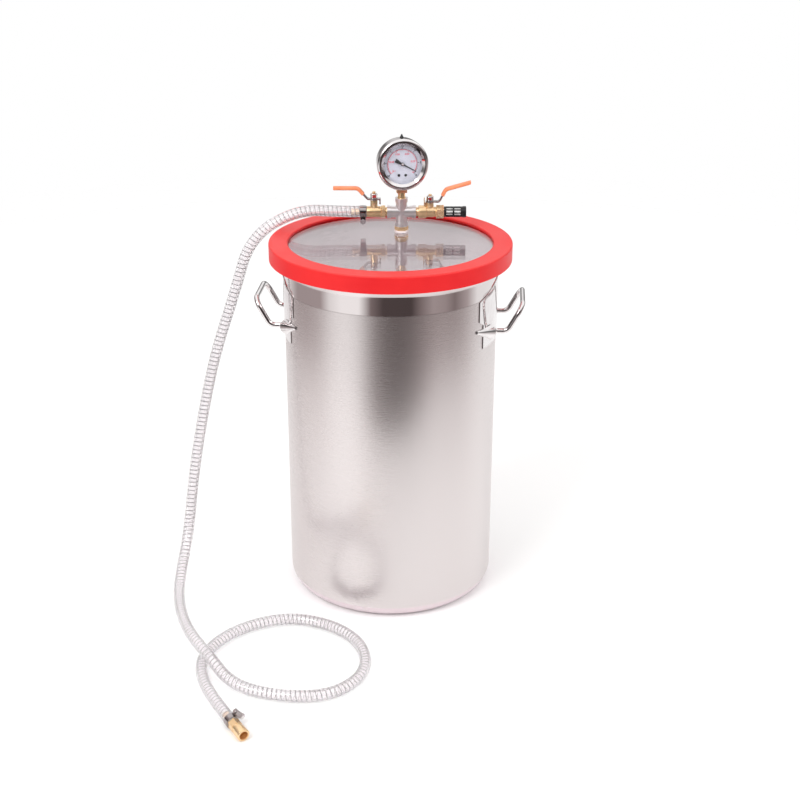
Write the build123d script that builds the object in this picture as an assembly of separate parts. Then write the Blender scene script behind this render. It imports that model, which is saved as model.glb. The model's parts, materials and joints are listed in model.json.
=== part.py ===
"""Vacuum chamber: a stainless pot, a clear lid in a silicone ring, and a manifold with two ball
valves, a gauge and a muffler, with a wire-reinforced hose. Millimetres, +Z up, the origin at the
middle of the pot's base; +X runs along the manifold towards the muffler and -Y is the front."""
from build123d import *
from math import cos, radians, sin, sqrt, tan
import os

UP = (Align.CENTER, Align.CENTER, Align.MIN)

# Pot
POT_RADIUS = 150.0
POT_WALL = 1.2
POT_FLOOR = 1.5
POT_HEIGHT = 500.5
POT_BASE_RADIUS = 22.5
RIM_OVERHANG = 7.0
RIM_BEAD_RADIUS = 3.0

# Handles: one bent rod each, with feet turned outwards under a pressed plate
HANDLE_TURN = -4.4
HANDLE_LEG_SPACING = 86.0
HANDLE_ROD_RADIUS = 3.8
HANDLE_DROP = 94.0
HANDLE_LEG_REACH = 16.0
HANDLE_REACH = 36.0
HANDLE_RISE = 36.5
HANDLE_FOOT_ANGLE = 22.5
HANDLE_FOOT_RISE = 3.5
HANDLE_FOOT_GAP = 0.75
HANDLE_ROD_CLEARANCE = 0.1
FOOT_BEND = 6.0
LEG_BEND = 12.0
GRIP_BEND = 16.0
PLATE_THICKNESS = 1.2
WELD_GAP = 0.1
PLATE_HALF_WIDTH = 81.0
PLATE_FLANGE_HALF_WIDTH = 72.0
PLATE_BOTTOM_DROP = 16.5
PLATE_WAIST_RISE = 18.0
PLATE_WAIST_STEP = 6.0
PLATE_CORNER_RISE = 52.5
PLATE_CROWN_RISE = 69.5
POCKET_MOUTH_ANGLE = 20.5
POCKET_NOSE_ANGLE = 34.5
POCKET_MOUTH_RADIUS = 10.6
POCKET_NOSE_RADIUS = 2.2
POCKET_MOUTH_RISE = 1.5
POCKET_NOSE_RISE = 11.0

# Gasket ring and lid
LID_OVERHANG = 14.3
LID_THICKNESS = 14.0
LID_CLEARANCE = 0.2
LID_EDGE_BEVEL = 1.0
LID_HOLE_CLEARANCE = 0.4
RING_WALL = 5.3
RING_LIP_REACH = 21.4
RING_TOP_LIP = 3.5
RING_BOTTOM_LIP = 3.0
RING_SKIRT = 3.0
RING_SKIRT_CLEARANCE = 1.0
RING_EDGE_ROUND = 2.0

# Manifold: stand pipe through the lid, four-way cross
STAND_X = 15.5
STAND_Y = 57.0
PIPE_THREAD_RADIUS = 6.5
THREAD_CLEARANCE = 0.1
PIPE_BORE_RADIUS = 3.5
THREAD_ENGAGEMENT = 8.0
WASHER_RADIUS = 10.5
WASHER_THICKNESS = 2.5
BULKHEAD_FLATS = 17.3
BULKHEAD_HEX_HEIGHT = 5.6
BULKHEAD_TAIL = 3.0
LOCKNUT_HEIGHT = 6.0
CROSS_REACH = 20.4
CROSS_ARM_RADIUS = 8.15
CROSS_BAND_RADIUS = 9.25
CROSS_BAND_LENGTH = 5.5
CROSS_WEB_REACH = 17.0
CROSS_WEB_THICKNESS = 4.0

# Ball valves, measured outwards from the ball's centre
BALL_RADIUS = 5.5
BALL_CLEARANCE = 0.1
SEAT_INNER_REACH = 2.6
SEAT_OUTER_REACH = 5.6
CAVITY_RADIUS = 6.1
INSERT_CLEARANCE = 0.1
PORT_RADIUS = 3.0
STEM_RADIUS = 2.5
STEM_CLEARANCE = 0.1
STEM_SHOULDER_RADIUS = 3.4
STEM_SHOULDER_BASE = 6.1
STEM_SHOULDER_HEIGHT = 1.3
STEM_CHAMBER_CLEARANCE = 0.1
TONGUE_THICKNESS = 1.8
TONGUE_WIDTH = 4.4
TONGUE_DEPTH = 2.0
PACKING_RADIUS = 4.0
PACKING_HEIGHT = 2.5
GLAND_HEIGHT = 3.5
NECK_RADIUS = 5.1
LEVER_THICKNESS = 2.0
LEVER_WIDTH = 7.6
LEVER_EYE_RADIUS = 6.3
LEVER_GAP = 0.3
LEVER_BEND = 4.0
LEVER_GRIP_BEND = 9.0
LEVER_TAB_REACH = 8.6
LEVER_TAB_DROP = 6.0
LEVER_NUT_FLATS = 9.6
LEVER_NUT_HEIGHT = 7.0
SLEEVE_THICKNESS = 4.6
SLEEVE_WIDTH = 9.8
SLEEVE_ROUND = 1.8
SLEEVE_TIP = 5.0

LEFT_PIVOT = 39.1
LEFT_HEX = (-15.9, -10.5)
LEFT_HEX_FLATS = 16.0
LEFT_BODY_RADIUS = 7.75
LEFT_BODY_END = 10.6
LEFT_BODY_BEVEL = 0.6
LEFT_NECK_TOP = 17.2
LEFT_STEM_TOP = 29.4
LEFT_LEVER_BEND_1 = 9.0
LEFT_LEVER_BEND_2 = (22.7, 34.0)
LEFT_LEVER_TIP = (57.8, 34.0)
LEFT_SLEEVE_START = 0.45
BARB_LENGTH = 21.4
BARB_ROOT_RADIUS = 4.2
BARB_TIP_RADIUS = 4.0
BARB_RIDGES = 4
BARB_FLAT = 1.6
BARB_STEP = 0.3

RIGHT_PIVOT = 40.5
RIGHT_COLLAR = (-16.5, -5.1)
RIGHT_COLLAR_RADIUS = 9.0
RIGHT_COLLAR_BEVEL = 0.8
RIGHT_WAIST_RADIUS = 7.6
RIGHT_WAIST_END = 5.1
RIGHT_GROOVE_END = 8.9
RIGHT_GROOVE_RADIUS = 7.0
RIGHT_HEX_END = 19.6
RIGHT_HEX_FLATS = 17.0
RIGHT_NECK_TOP = 13.7
RIGHT_STEM_TOP = 25.5
RIGHT_LEVER_BEND_1 = 13.2
RIGHT_LEVER_BEND_2 = (22.0, 32.5)
RIGHT_LEVER_TIP = (57.7, 42.7)
RIGHT_SLEEVE_START = 0.5
STOP_FIN_OFFSET = 8.2
STOP_FIN_THICKNESS = 1.3
STOP_FIN_WIDTH = 6.0
STOP_FIN_TOP = 20.5

# Muffler on the right valve
MUFFLER_RADIUS = 7.5
MUFFLER_WALL = 1.3
MUFFLER_LENGTH = 31.8
MUFFLER_CAP_LENGTH = 5.0
MUFFLER_CAP_RADIUS = 7.95
MUFFLER_COLUMNS = 2
MUFFLER_ROWS = 10
MUFFLER_SLOT_LENGTH = 9.2
MUFFLER_SLOT_HEIGHT = 2.8
MUFFLER_FIRST_SLOT = 3.3
MUFFLER_SLOT_PITCH = 11.3
MUFFLER_ELEMENT_GAP = 0.2
MUFFLER_ELEMENT_BORE = 3.5

# Gauge, measured from its centre towards its front
GAUGE_YAW = 9.0
GAUGE_HEIGHT = 70.0
CASE_RADIUS = 35.0
CASE_WALL = 0.8
CASE_BACK = -14.0
CASE_FRONT = 9.0
CASE_BACK_ROUND = 5.0
BEZEL_WALL = 1.2
BEZEL_LIP_REACH = 7.5
BEZEL_BACK = 5.6
BEZEL_FRONT = 15.0
BEZEL_ROUND = 4.0
BEZEL_SLOPE = 3.5
BEZEL_CLEARANCE = 0.2
WINDOW_THICKNESS = 2.5
DIAL_CLEARANCE = 0.4
DIAL_BACK = 4.5
DIAL_THICKNESS = 0.8
DIAL_HOLE = 1.3
DIAL_SCREW_X = 4.8
DIAL_SCREW_Y = -16.0
DIAL_SCREW_RADIUS = 2.0
DIAL_SCREW_HEIGHT = 0.7
POINTER_BACK = 6.7
POINTER_THICKNESS = 0.5
POINTER_HUB_RADIUS = 2.4
POINTER_HUB_FRONT = 8.3
POINTER_LENGTH = 22.5
POINTER_TAIL = 11.5
POINTER_TAIL_HALF_WIDTH = 3.0
POINTER_HALF_WIDTH = 1.1
POINTER_TIP_HALF_WIDTH = 0.35
POINTER_REST = -29.0
SOCKET_FLATS = 14.7
SOCKET_DEPTH = 8.8
SOCKET_SQUARE_BASE = -42.0
SOCKET_NECK_RADIUS = 5.25
SOCKET_CLEARANCE = 0.1
HOLDER_WIDTH = 10.0
HOLDER_BACK = -8.9
HOLDER_FRONT = -3.0
HOLDER_TONGUE = 1.2
HOLDER_TONGUE_TOP = -20.0
BOURDON_RADIUS = 22.0
BOURDON_THICKNESS = 2.6
BOURDON_WIDTH = 7.0
BOURDON_FRONT = -4.6
BOURDON_SWEEP = 245.0
BOURDON_START = -95.0
BOURDON_SEAT_GAP = 0.2
MOVEMENT_HALF_WIDTH = 9.0
MOVEMENT_TOP = 6.0
MOVEMENT_BOTTOM = -24.0
MOVEMENT_PLATE = 1.2
MOVEMENT_SPACING = 4.4
PILLAR_RADIUS = 1.0
PILLAR_INSET = 1.6
SHAFT_RADIUS = 0.8
SHAFT_CLEARANCE = 0.1
GEAR_MODULE = 0.5
PINION_TEETH = 12
SECTOR_TEETH = 60
GEAR_THICKNESS = 1.2
GEAR_LIFT = 1.2
ADDENDUM = 0.8
DEDENDUM = 1.1
TOOTH_TIP = 0.1
TOOTH_FOOT = 0.24
SECTOR_LOW_TEETH = 2
SECTOR_HIGH_TEETH = 10
SECTOR_HUB_RADIUS = 2.4
PLUG_RADIUS = 2.8
PLUG_HEIGHT = 6.0
PLUG_TIP_RADIUS = 0.6
PLUG_BRIM = 1.2
PLUG_SHANK_RADIUS = 1.4
PLUG_SHANK_LENGTH = 1.6

# Hose and its ends
HOSE_RADIUS = 8.0
HOSE_BORE_RADIUS = 5.0
HOSE_LEAD = 33.8
CROSSING_LIFT = 32.0
BARB_CLEARANCE = 0.05
CLAMP_WIDTH = 8.9
CLAMP_THICKNESS = 0.8
CLAMP_CLEARANCE = 0.05
CLAMP_INSET = 0.6
CLAMP_HOUSING_LENGTH = 11.0
CLAMP_HOUSING_HEIGHT = 7.0
CLAMP_HOUSING_WIDTH = 7.6
CLAMP_SCREW_RADIUS = 2.6
CLAMP_SCREW_HEAD_RADIUS = 3.7
CLAMP_SCREW_HEAD_LENGTH = 4.0
CLAMP_SCREW_LENGTH = 13.0
CLAMP_SCREW_CLEARANCE = 0.1
CLAMP_SCREW_SLOT_DEPTH = 1.2
CLAMP_FLOOR_GAP = 0.1
END_CLAMP_TURN = -50.0
END_HEX_FLATS = 14.0
END_HEX_LENGTH = 12.0
END_NECK_RADIUS = 6.9
END_NECK_LENGTH = 3.5
END_COLLAR_RADIUS = 8.2
END_COLLAR_LENGTH = 15.5
END_HOLE_RADIUS = 5.7
END_HOLE_DEPTH = 12.0
END_MOUTH_BEVEL = 0.7

# Levels that follow from the sizes above
LEVER_BENDS = [LEVER_BEND, LEVER_GRIP_BEND]
RIM_TOP = POT_HEIGHT
HANDLE_LEG_Z = RIM_TOP - HANDLE_DROP
LID_RADIUS = POT_RADIUS + LID_OVERHANG
RING_OUTER_RADIUS = LID_RADIUS + LID_CLEARANCE + RING_WALL
RING_INNER_RADIUS = LID_RADIUS - RING_LIP_REACH
LID_BOTTOM = RIM_TOP + RING_BOTTOM_LIP
LID_TOP = LID_BOTTOM + LID_THICKNESS
RING_TOP = LID_TOP + RING_TOP_LIP
HEX_BASE = LID_TOP + WASHER_THICKNESS
CROSS_Z = HEX_BASE + BULKHEAD_HEX_HEIGHT + CROSS_REACH
SHANK_BOTTOM = LID_BOTTOM - WASHER_THICKNESS - LOCKNUT_HEIGHT - BULKHEAD_TAIL

STAND = Pos(STAND_X, STAND_Y, CROSS_Z)
LEFT_VALVE = STAND * Pos(-LEFT_PIVOT, 0, 0) * Rot(0, 0, 180)
RIGHT_VALVE = STAND * Pos(RIGHT_PIVOT, 0, 0)
GAUGE = STAND * Pos(0, 0, GAUGE_HEIGHT) * Rot(0, 0, GAUGE_YAW) * Rot(90, 0, 0)
ALONG_X = Rot(0, 90, 0)

# The hose's route: the start is the left valve's shoulder, the rest are chosen places
HOSE_START = (STAND_X - LEFT_PIVOT - LEFT_BODY_END, STAND_Y, CROSS_Z)
FLOOR_Z = HOSE_RADIUS
CROSSING_Z = FLOOR_Z + CROSSING_LIFT
END_Z = FLOOR_Z + CLAMP_THICKNESS + CLAMP_CLEARANCE + CLAMP_FLOOR_GAP
HOSE_ROUTE = [
    HOSE_START,
    (HOSE_START[0] - HOSE_LEAD, STAND_Y, CROSS_Z),
    (-131, 56, 557),
    (-201, 46, 519),
    (-221, 36, 432),
    (-250, 24, 342),
    (-276, 12, 246),
    (-294, -4, 157),
    (-308, -22, 74),
    (-315, -82, 26),
    (-297, -148, 26),
    (-272, -218, CROSSING_Z),
    (-241, -275, CROSSING_Z),
    (-209, -324, FLOOR_Z),
    (-142, -352, FLOOR_Z),
    (-74, -350, FLOOR_Z),
    (-28, -300, FLOOR_Z),
    (-31, -230, FLOOR_Z),
    (-76, -174, FLOOR_Z),
    (-145, -151, FLOOR_Z),
    (-217, -185, FLOOR_Z),
    (-257, -248, FLOOR_Z),
    (-253, -306, FLOOR_Z),
    (-228, -362, END_Z),
    (-199, -410, END_Z),
]


def rod(radius, low, high):
    return Pos(0, 0, low) * Cylinder(radius, high - low, align=UP)


def tube(radius, bore, low, high):
    return rod(radius, low, high) - rod(bore, low, high)


def hexagon(flats, low, high):
    return Pos(0, 0, low) * extrude(RegularPolygon(flats / 2, 6, major_radius=False), high - low)


def block(x_size, y_size, low, high):
    return Pos(0, 0, low) * Box(x_size, y_size, high - low, align=UP)


def turned(*points):
    """A solid of revolution about Z from (radius, height) points."""
    return revolve(Plane.XZ * make_face(Polyline(*points, close=True)), Axis.Z)


def rectangle(low, high):
    """A rectangle between two corners."""
    size = (high[0] - low[0], high[1] - low[1])
    return Pos((low[0] + high[0]) / 2, (low[1] + high[1]) / 2) * Rectangle(*size)


def rounded_corner(sketch, corner, radius):
    """The sketch with the corner nearest to a place rounded."""
    nearest = sketch.vertices().sort_by_distance(Vector(*corner))[0]
    return fillet(nearest, radius)


# Pot and handles

def pot_shell():
    outer = rounded_corner(rectangle((0, 0), (POT_RADIUS, POT_HEIGHT)), (POT_RADIUS, 0), POT_BASE_RADIUS)
    inner_radius = POT_RADIUS - POT_WALL
    inner = rectangle((0, POT_FLOOR), (inner_radius, POT_HEIGHT + POT_WALL))
    inner = rounded_corner(inner, (inner_radius, POT_FLOOR), POT_BASE_RADIUS - POT_WALL)
    bead_radius = POT_RADIUS + RIM_OVERHANG
    flange = rectangle((inner_radius, POT_HEIGHT - POT_WALL), (bead_radius, POT_HEIGHT))
    bead = Pos(bead_radius, POT_HEIGHT - RIM_BEAD_RADIUS) * Circle(RIM_BEAD_RADIUS)
    return revolve(Plane.XZ * (outer - inner + flange + bead), Axis.Z)


def handle_place(side):
    """The frame of one handle: +X points out of the wall, +Y runs along it."""
    turn = HANDLE_TURN if side > 0 else HANDLE_TURN + 180
    return Rot(0, 0, turn)


def handle_sweep(radius):
    """A round bar along the handle's path, with its feet turned outwards along the wall."""
    foot_radius = POT_RADIUS + HANDLE_ROD_RADIUS + HANDLE_FOOT_GAP
    half = HANDLE_LEG_SPACING / 2
    angle = radians(HANDLE_FOOT_ANGLE)
    foot = (foot_radius * cos(angle), foot_radius * sin(angle), HANDLE_LEG_Z + HANDLE_FOOT_RISE)
    root = (sqrt(foot_radius ** 2 - half ** 2), half, HANDLE_LEG_Z)
    knee = (POT_RADIUS + HANDLE_LEG_REACH, half, HANDLE_LEG_Z)
    corner = (POT_RADIUS + HANDLE_REACH, half, HANDLE_LEG_Z + HANDLE_RISE)
    front = [foot, root, knee, corner]
    back = [(x, -y, z) for x, y, z in reversed(front)]
    bends = [FOOT_BEND, LEG_BEND, GRIP_BEND]
    path = FilletPolyline(*front, *back, radius=bends + bends[::-1])
    section = Plane(origin=path @ 0, z_dir=path % 0) * Circle(radius)
    return sweep(section, path)


def handle_rod(side):
    return handle_place(side) * handle_sweep(HANDLE_ROD_RADIUS)


def plate_outline():
    """The plate's edge seen from the side, as (along the wall, height)."""
    wide = PLATE_HALF_WIDTH
    narrow = PLATE_FLANGE_HALF_WIDTH
    bottom = HANDLE_LEG_Z - PLATE_BOTTOM_DROP
    waist = HANDLE_LEG_Z + PLATE_WAIST_RISE
    shoulder = HANDLE_LEG_Z + PLATE_CORNER_RISE
    crown = HANDLE_LEG_Z + PLATE_CROWN_RISE
    right = [(narrow, bottom), (narrow, waist), (wide, waist + PLATE_WAIST_STEP), (wide, shoulder)]
    left = [(-y, z) for y, z in reversed(right)]
    edge = Polyline(*left, *right)
    top = ThreePointArc((wide, shoulder), (0, crown), (-wide, shoulder))
    return make_face(edge + top)


def pocket_cone(end, offset):
    """The cone that a pocket is pressed to, less an offset, at one end of the plate."""
    mouth_angle = radians(POCKET_MOUTH_ANGLE)
    nose_angle = radians(POCKET_NOSE_ANGLE)
    mouth = Vector(POT_RADIUS * cos(mouth_angle), end * POT_RADIUS * sin(mouth_angle),
                   HANDLE_LEG_Z + POCKET_MOUTH_RISE)
    nose = Vector(POT_RADIUS * cos(nose_angle), end * POT_RADIUS * sin(nose_angle),
                  HANDLE_LEG_Z + POCKET_NOSE_RISE)
    axis = nose - mouth
    plane = Plane(origin=mouth, z_dir=axis)
    return Solid.make_cone(POCKET_MOUTH_RADIUS - offset, POCKET_NOSE_RADIUS - offset, axis.length, plane)


def handle_plate(side):
    inner = POT_RADIUS + WELD_GAP
    outer = inner + PLATE_THICKNESS
    low = HANDLE_LEG_Z - PLATE_BOTTOM_DROP
    high = HANDLE_LEG_Z + PLATE_CROWN_RISE
    outline = extrude(Plane.YZ * plate_outline(), 2 * POT_RADIUS)
    plate = tube(outer, inner, low, high) & outline
    pocket_room = None
    pockets = None
    for end in (-1, 1):
        room = pocket_cone(end, PLATE_THICKNESS)
        shell = pocket_cone(end, 0)
        pocket_room = room if pocket_room is None else pocket_room + room
        pockets = shell if pockets is None else pockets + shell
    plate = plate + pockets - rod(inner, 0, POT_HEIGHT) - pocket_room
    plate -= handle_sweep(HANDLE_ROD_RADIUS + HANDLE_ROD_CLEARANCE)
    return handle_place(side) * plate


# Gasket ring and lid

def gasket_ring():
    bottom = RIM_TOP - RING_SKIRT
    skirt_radius = POT_RADIUS + RIM_OVERHANG + RIM_BEAD_RADIUS + RING_SKIRT_CLEARANCE
    section = rectangle((RING_INNER_RADIUS, bottom), (RING_OUTER_RADIUS, RING_TOP))
    section = rounded_corner(section, (RING_OUTER_RADIUS, RING_TOP), RING_EDGE_ROUND)
    section = rounded_corner(section, (RING_INNER_RADIUS, RING_TOP), RING_EDGE_ROUND)
    section -= rectangle((0, LID_BOTTOM), (LID_RADIUS + LID_CLEARANCE, LID_TOP))
    section -= rectangle((0, bottom - RING_SKIRT), (skirt_radius, RIM_TOP))
    return revolve(Plane.XZ * section, Axis.Z)


def lid():
    disc = rod(LID_RADIUS, LID_BOTTOM, LID_TOP)
    disc = chamfer(disc.edges().filter_by(GeomType.CIRCLE), LID_EDGE_BEVEL)
    hole = Pos(STAND_X, STAND_Y) * rod(PIPE_THREAD_RADIUS + LID_HOLE_CLEARANCE, LID_BOTTOM, LID_TOP)
    return disc - hole


# Stand pipe and cross

def bulkhead_fitting():
    hex_top = HEX_BASE + BULKHEAD_HEX_HEIGHT
    fitting = rod(PIPE_THREAD_RADIUS, SHANK_BOTTOM, hex_top + THREAD_ENGAGEMENT)
    fitting += hexagon(BULKHEAD_FLATS, HEX_BASE, hex_top)
    fitting -= rod(PIPE_BORE_RADIUS, SHANK_BOTTOM, hex_top + THREAD_ENGAGEMENT)
    return Pos(STAND_X, STAND_Y) * fitting


def bulkhead_washer(base):
    bore = PIPE_THREAD_RADIUS + THREAD_CLEARANCE
    return Pos(STAND_X, STAND_Y) * tube(WASHER_RADIUS, bore, base, base + WASHER_THICKNESS)


def bulkhead_locknut():
    top = LID_BOTTOM - WASHER_THICKNESS
    nut = hexagon(BULKHEAD_FLATS, top - LOCKNUT_HEIGHT, top)
    nut -= rod(PIPE_THREAD_RADIUS + THREAD_CLEARANCE, top - LOCKNUT_HEIGHT, top)
    return Pos(STAND_X, STAND_Y) * nut


def pipe_cross():
    arms = [Rot(0, angle, 0) for angle in (0, 90, 180, 270)]
    thread = PIPE_THREAD_RADIUS + THREAD_CLEARANCE
    depth = CROSS_REACH - THREAD_ENGAGEMENT - THREAD_CLEARANCE
    arm = rod(CROSS_ARM_RADIUS, 0, CROSS_REACH)
    arm += rod(CROSS_BAND_RADIUS, CROSS_REACH - CROSS_BAND_LENGTH, CROSS_REACH)
    hollow = rod(PIPE_BORE_RADIUS, 0, CROSS_REACH) + rod(thread, depth, CROSS_REACH)
    web = Rot(0, 45, 0) * Box(CROSS_WEB_REACH, CROSS_WEB_THICKNESS, CROSS_WEB_REACH)
    casting = web
    for place in arms:
        casting += place * arm
    for place in arms:
        casting -= place * hollow
    return STAND * casting


# Ball valves, in a frame whose +X points away from the cross and whose origin is the ball's centre

def valve_ball():
    ball = Sphere(BALL_RADIUS) - ALONG_X * rod(PORT_RADIUS, -BALL_RADIUS, BALL_RADIUS)
    slot = TONGUE_THICKNESS + 2 * STEM_CLEARANCE
    floor = STEM_SHOULDER_BASE - TONGUE_DEPTH - STEM_CLEARANCE
    return ball - block(2 * BALL_RADIUS, slot, floor, BALL_RADIUS)


def valve_seat(end):
    ring = tube(CAVITY_RADIUS - INSERT_CLEARANCE, PORT_RADIUS, SEAT_INNER_REACH, SEAT_OUTER_REACH)
    return Rot(0, 90 * end, 0) * (ring - Sphere(BALL_RADIUS + BALL_CLEARANCE))


def valve_stem(neck_top, stem_top):
    nut_base = neck_top + LEVER_GAP + LEVER_THICKNESS
    stem = rod(STEM_RADIUS, STEM_SHOULDER_BASE, nut_base)
    stem += rod(STEM_RADIUS - STEM_CLEARANCE, nut_base, stem_top)
    stem += rod(STEM_SHOULDER_RADIUS, STEM_SHOULDER_BASE, STEM_SHOULDER_BASE + STEM_SHOULDER_HEIGHT)
    stem += block(TONGUE_WIDTH, TONGUE_THICKNESS, STEM_SHOULDER_BASE - TONGUE_DEPTH, STEM_SHOULDER_BASE)
    return chamfer(stem.edges().group_by(Axis.Z)[-1], STEM_RADIUS / 4)


def neck_cavity(neck_top):
    """The space inside a valve's neck for its stem, packing and gland."""
    chamber_top = STEM_SHOULDER_BASE + STEM_SHOULDER_HEIGHT + STEM_CHAMBER_CLEARANCE
    cavity = rod(STEM_SHOULDER_RADIUS + STEM_CHAMBER_CLEARANCE, 0, chamber_top)
    cavity += rod(STEM_RADIUS + STEM_CLEARANCE, 0, neck_top)
    return cavity + rod(PACKING_RADIUS, neck_top - GLAND_HEIGHT - PACKING_HEIGHT, neck_top)


def valve_packing(neck_top):
    top = neck_top - GLAND_HEIGHT
    return tube(PACKING_RADIUS, STEM_RADIUS + STEM_CLEARANCE, top - PACKING_HEIGHT, top)


def valve_gland(neck_top):
    return tube(PACKING_RADIUS, STEM_RADIUS + STEM_CLEARANCE, neck_top - GLAND_HEIGHT, neck_top)


def lever_path(neck_top, bend_1, bend_2, tip):
    """The middle line of a lever's strip, in the XZ plane."""
    level = neck_top + LEVER_GAP + LEVER_THICKNESS / 2
    points = [(0, 0, level), (bend_1, 0, level), (bend_2[0], 0, bend_2[1]), (tip[0], 0, tip[1])]
    return points


def strip(points, bends, width, thickness, corner):
    path = FilletPolyline(*points, radius=bends)
    if corner:
        section = RectangleRounded(width, thickness, corner)
    else:
        section = Rectangle(width, thickness)
    plane = Plane(origin=path @ 0, x_dir=(0, 1, 0), z_dir=path % 0)
    return sweep(plane * section, path)


def shortened(points, length):
    """The same line with its last run shorter."""
    last = Vector(*points[-1])
    before = Vector(*points[-2])
    end = last - (last - before).normalized() * length
    return points[:-1] + [tuple(end)]


def lever_plate(neck_top, points, tab_drop):
    level = neck_top + LEVER_GAP
    plate = strip(shortened(points, SLEEVE_TIP), LEVER_BENDS, LEVER_WIDTH, LEVER_THICKNESS, 0)
    plate += rod(LEVER_EYE_RADIUS, level, level + LEVER_THICKNESS)
    if tab_drop:
        reach = LEVER_TAB_REACH
        arm = Pos(-reach / 2, 0) * block(reach, LEVER_WIDTH, level, level + LEVER_THICKNESS)
        tab = Pos(-reach, 0) * block(LEVER_THICKNESS, LEVER_WIDTH, level - tab_drop, level + LEVER_THICKNESS)
        plate += arm + tab
    return plate - rod(STEM_RADIUS, level, level + LEVER_THICKNESS)


def lever_sleeve(points, start):
    """The dipped grip: from part of the way up the slope to the lever's tip."""
    low = Vector(*points[1])
    high = Vector(*points[2])
    first = low + (high - low) * start
    covered = [tuple(first)] + points[2:]
    sleeve = strip(covered, LEVER_BENDS[1:], SLEEVE_WIDTH, SLEEVE_THICKNESS, SLEEVE_ROUND)
    tip = points[-1][0]
    plan = rectangle((0, -SLEEVE_WIDTH), (tip, SLEEVE_WIDTH))
    cap = Pos(tip - SLEEVE_WIDTH / 2, 0) * Circle(SLEEVE_WIDTH / 2)
    plan = (plan - rectangle((tip - SLEEVE_WIDTH / 2, -SLEEVE_WIDTH), (tip, SLEEVE_WIDTH))) + cap
    sleeve = sleeve & extrude(plan, 2 * points[-1][2])
    return sleeve - strip(shortened(points, SLEEVE_TIP), LEVER_BENDS, LEVER_WIDTH, LEVER_THICKNESS, 0)


def lever_nut(neck_top):
    base = neck_top + LEVER_GAP + LEVER_THICKNESS
    top = base + LEVER_NUT_HEIGHT
    return hexagon(LEVER_NUT_FLATS, base, top) - rod(STEM_RADIUS, base, top)


def hose_barb():
    """A ridged tail along +Z from zero, that fits the hose's bore."""
    crest = HOSE_BORE_RADIUS - BARB_CLEARANCE
    pitch = BARB_LENGTH / BARB_RIDGES
    points = [(PORT_RADIUS, 0)]
    for ridge in range(BARB_RIDGES):
        points.append((BARB_ROOT_RADIUS, ridge * pitch))
        points.append((BARB_ROOT_RADIUS, ridge * pitch + BARB_FLAT))
        points.append((crest, ridge * pitch + BARB_FLAT + BARB_STEP))
    points.append((BARB_TIP_RADIUS, BARB_LENGTH))
    points.append((PORT_RADIUS, BARB_LENGTH))
    return turned(*points)


def left_valve_body():
    barrel = rod(LEFT_BODY_RADIUS, LEFT_HEX[1], LEFT_BODY_END)
    barrel = chamfer(barrel.edges().filter_by(GeomType.CIRCLE), LEFT_BODY_BEVEL)
    barrel -= rod(CAVITY_RADIUS, LEFT_HEX[1], SEAT_OUTER_REACH)
    barrel -= rod(PORT_RADIUS, LEFT_HEX[1], LEFT_BODY_END)
    barrel += Pos(0, 0, LEFT_BODY_END) * hose_barb()
    neck = rod(NECK_RADIUS, CAVITY_RADIUS, LEFT_NECK_TOP)
    return ALONG_X * barrel + neck - neck_cavity(LEFT_NECK_TOP)


def left_valve_end():
    thread_end = -LEFT_PIVOT + CROSS_REACH - THREAD_ENGAGEMENT
    end = rod(PIPE_THREAD_RADIUS, thread_end, LEFT_HEX[0])
    end += hexagon(LEFT_HEX_FLATS, *LEFT_HEX)
    end += rod(CAVITY_RADIUS - INSERT_CLEARANCE, LEFT_HEX[1], -SEAT_OUTER_REACH)
    return ALONG_X * (end - rod(PORT_RADIUS, thread_end, -SEAT_OUTER_REACH))


def right_valve_body():
    thread_end = -RIGHT_PIVOT + CROSS_REACH - THREAD_ENGAGEMENT
    body = rod(PIPE_THREAD_RADIUS, thread_end, RIGHT_COLLAR[0])
    collar = rod(RIGHT_COLLAR_RADIUS, *RIGHT_COLLAR)
    body += chamfer(collar.edges().filter_by(GeomType.CIRCLE), RIGHT_COLLAR_BEVEL)
    body += rod(RIGHT_WAIST_RADIUS, RIGHT_COLLAR[1], RIGHT_WAIST_END)
    body += rod(RIGHT_GROOVE_RADIUS, RIGHT_WAIST_END, RIGHT_GROOVE_END)
    body -= rod(CAVITY_RADIUS, -SEAT_OUTER_REACH, RIGHT_GROOVE_END)
    body -= rod(PORT_RADIUS, thread_end, RIGHT_GROOVE_END)
    neck = rod(NECK_RADIUS, CAVITY_RADIUS, RIGHT_NECK_TOP)
    fin = Pos(-STOP_FIN_OFFSET, 0) * block(STOP_FIN_THICKNESS, STOP_FIN_WIDTH, CAVITY_RADIUS, STOP_FIN_TOP)
    foot_length = STOP_FIN_OFFSET - NECK_RADIUS + STEM_RADIUS
    foot = Pos(-STOP_FIN_OFFSET + foot_length / 2, 0) * block(foot_length, STOP_FIN_THICKNESS,
                                                              CAVITY_RADIUS, RIGHT_NECK_TOP - LEVER_GAP)
    return ALONG_X * body + neck + fin + foot - neck_cavity(RIGHT_NECK_TOP)


def right_valve_end():
    end = hexagon(RIGHT_HEX_FLATS, RIGHT_GROOVE_END, RIGHT_HEX_END)
    end += rod(CAVITY_RADIUS - INSERT_CLEARANCE, SEAT_OUTER_REACH, RIGHT_GROOVE_END)
    end -= rod(PORT_RADIUS, SEAT_OUTER_REACH, RIGHT_HEX_END)
    thread = PIPE_THREAD_RADIUS + THREAD_CLEARANCE
    end -= rod(thread, RIGHT_HEX_END - THREAD_ENGAGEMENT - THREAD_CLEARANCE, RIGHT_HEX_END)
    return ALONG_X * end


# Muffler, in the right valve's frame

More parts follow.
